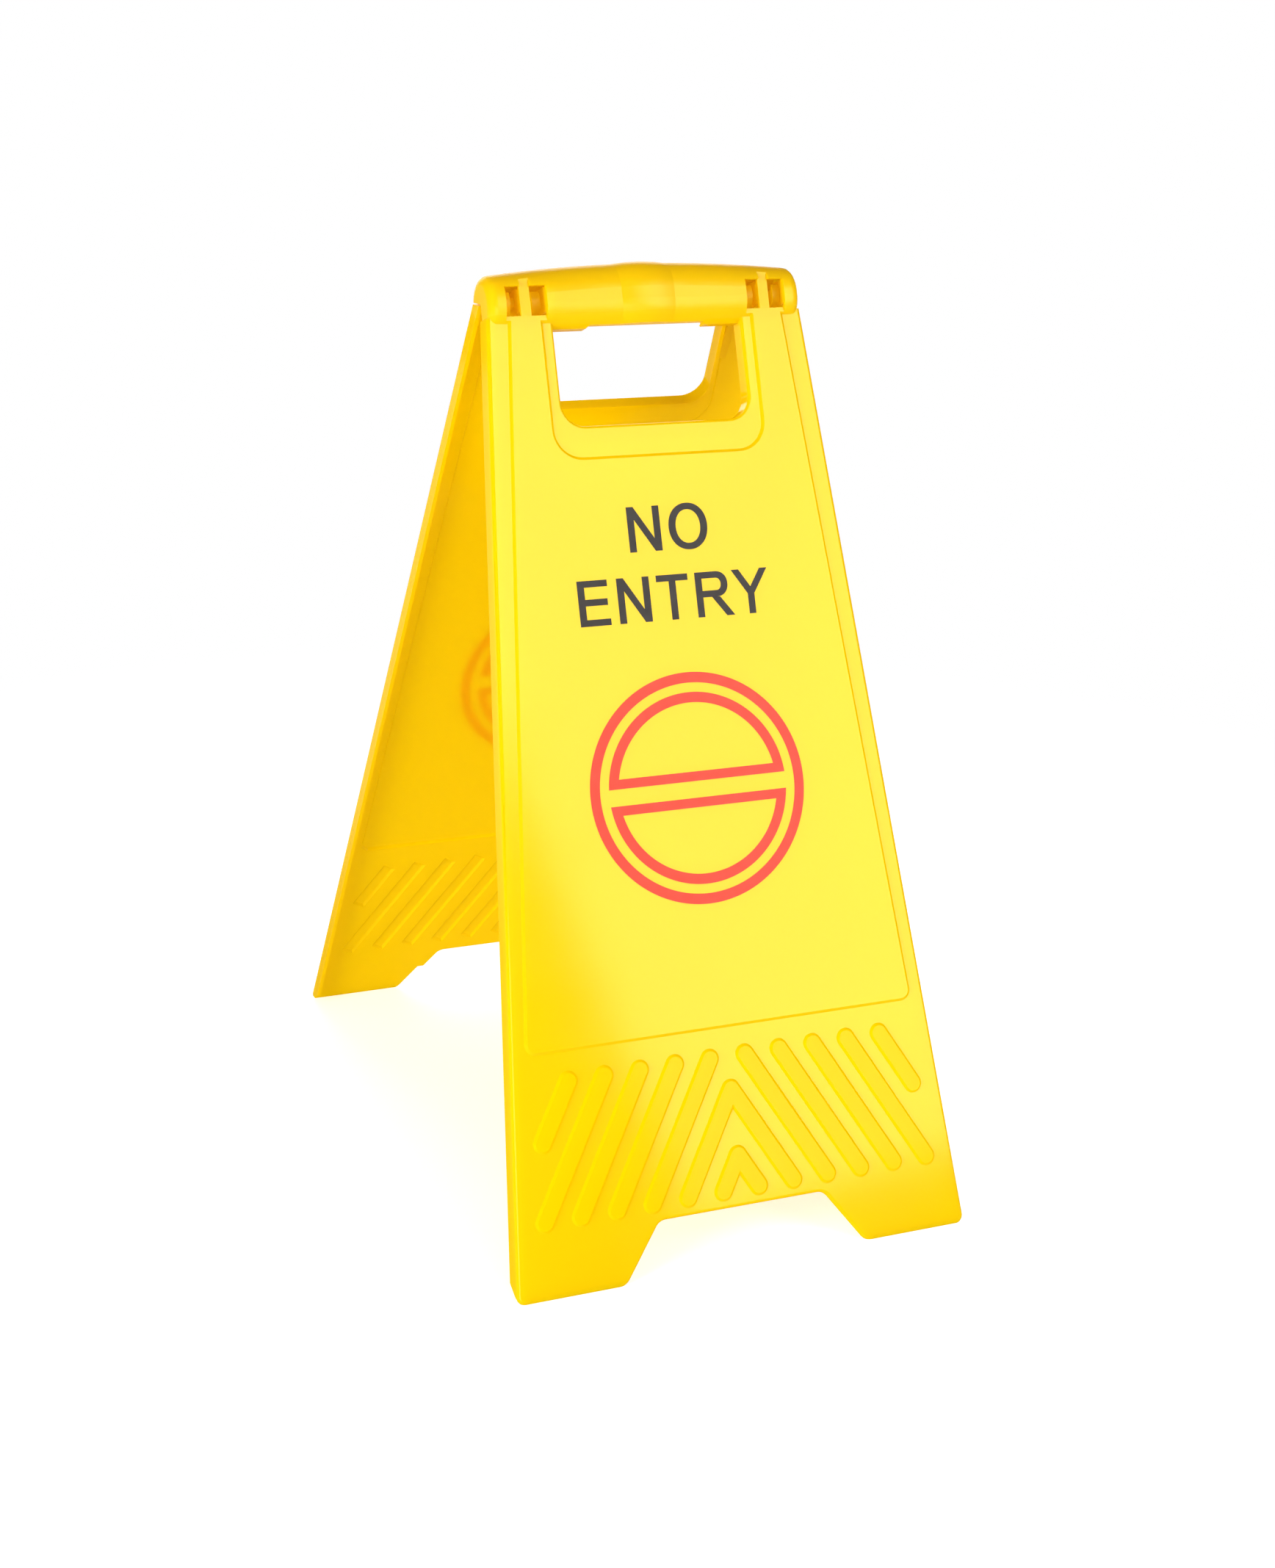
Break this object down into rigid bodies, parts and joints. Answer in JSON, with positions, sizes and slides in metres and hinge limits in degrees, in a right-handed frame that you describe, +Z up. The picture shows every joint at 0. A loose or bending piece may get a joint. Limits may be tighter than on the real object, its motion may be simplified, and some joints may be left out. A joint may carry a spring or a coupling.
{
  "type": "folding floor sign",
  "caption": "Yellow moulded A-frame floor sign: tapered panels with a raised field and sloping bars, hinged under a rounded carry grip, with hand openings.",
  "frame": {"origin": "on the floor, midway between the feet of the open sign", "axes": "+Z up from the floor, X across the sign along the hinge, the front panel faces -Y"},
  "size_m": [0.2996, 0.4506, 0.572],
  "materials": {
    "yellow_plastic": "glossy moulded plastic, evenly yellow"
  },
  "bodies": {
    "front": {"front_panel": "yellow_plastic"},
    "rear": {"rear_panel": "yellow_plastic"}
  },
  "joints": [
    {"name": "fold_hinge", "type": "hinge", "parent": "front", "child": "rear", "pos_m": [0, 0, 0.549], "axis": [-1, 0, 0], "range_deg": [0, 42.4]}
  ]
}
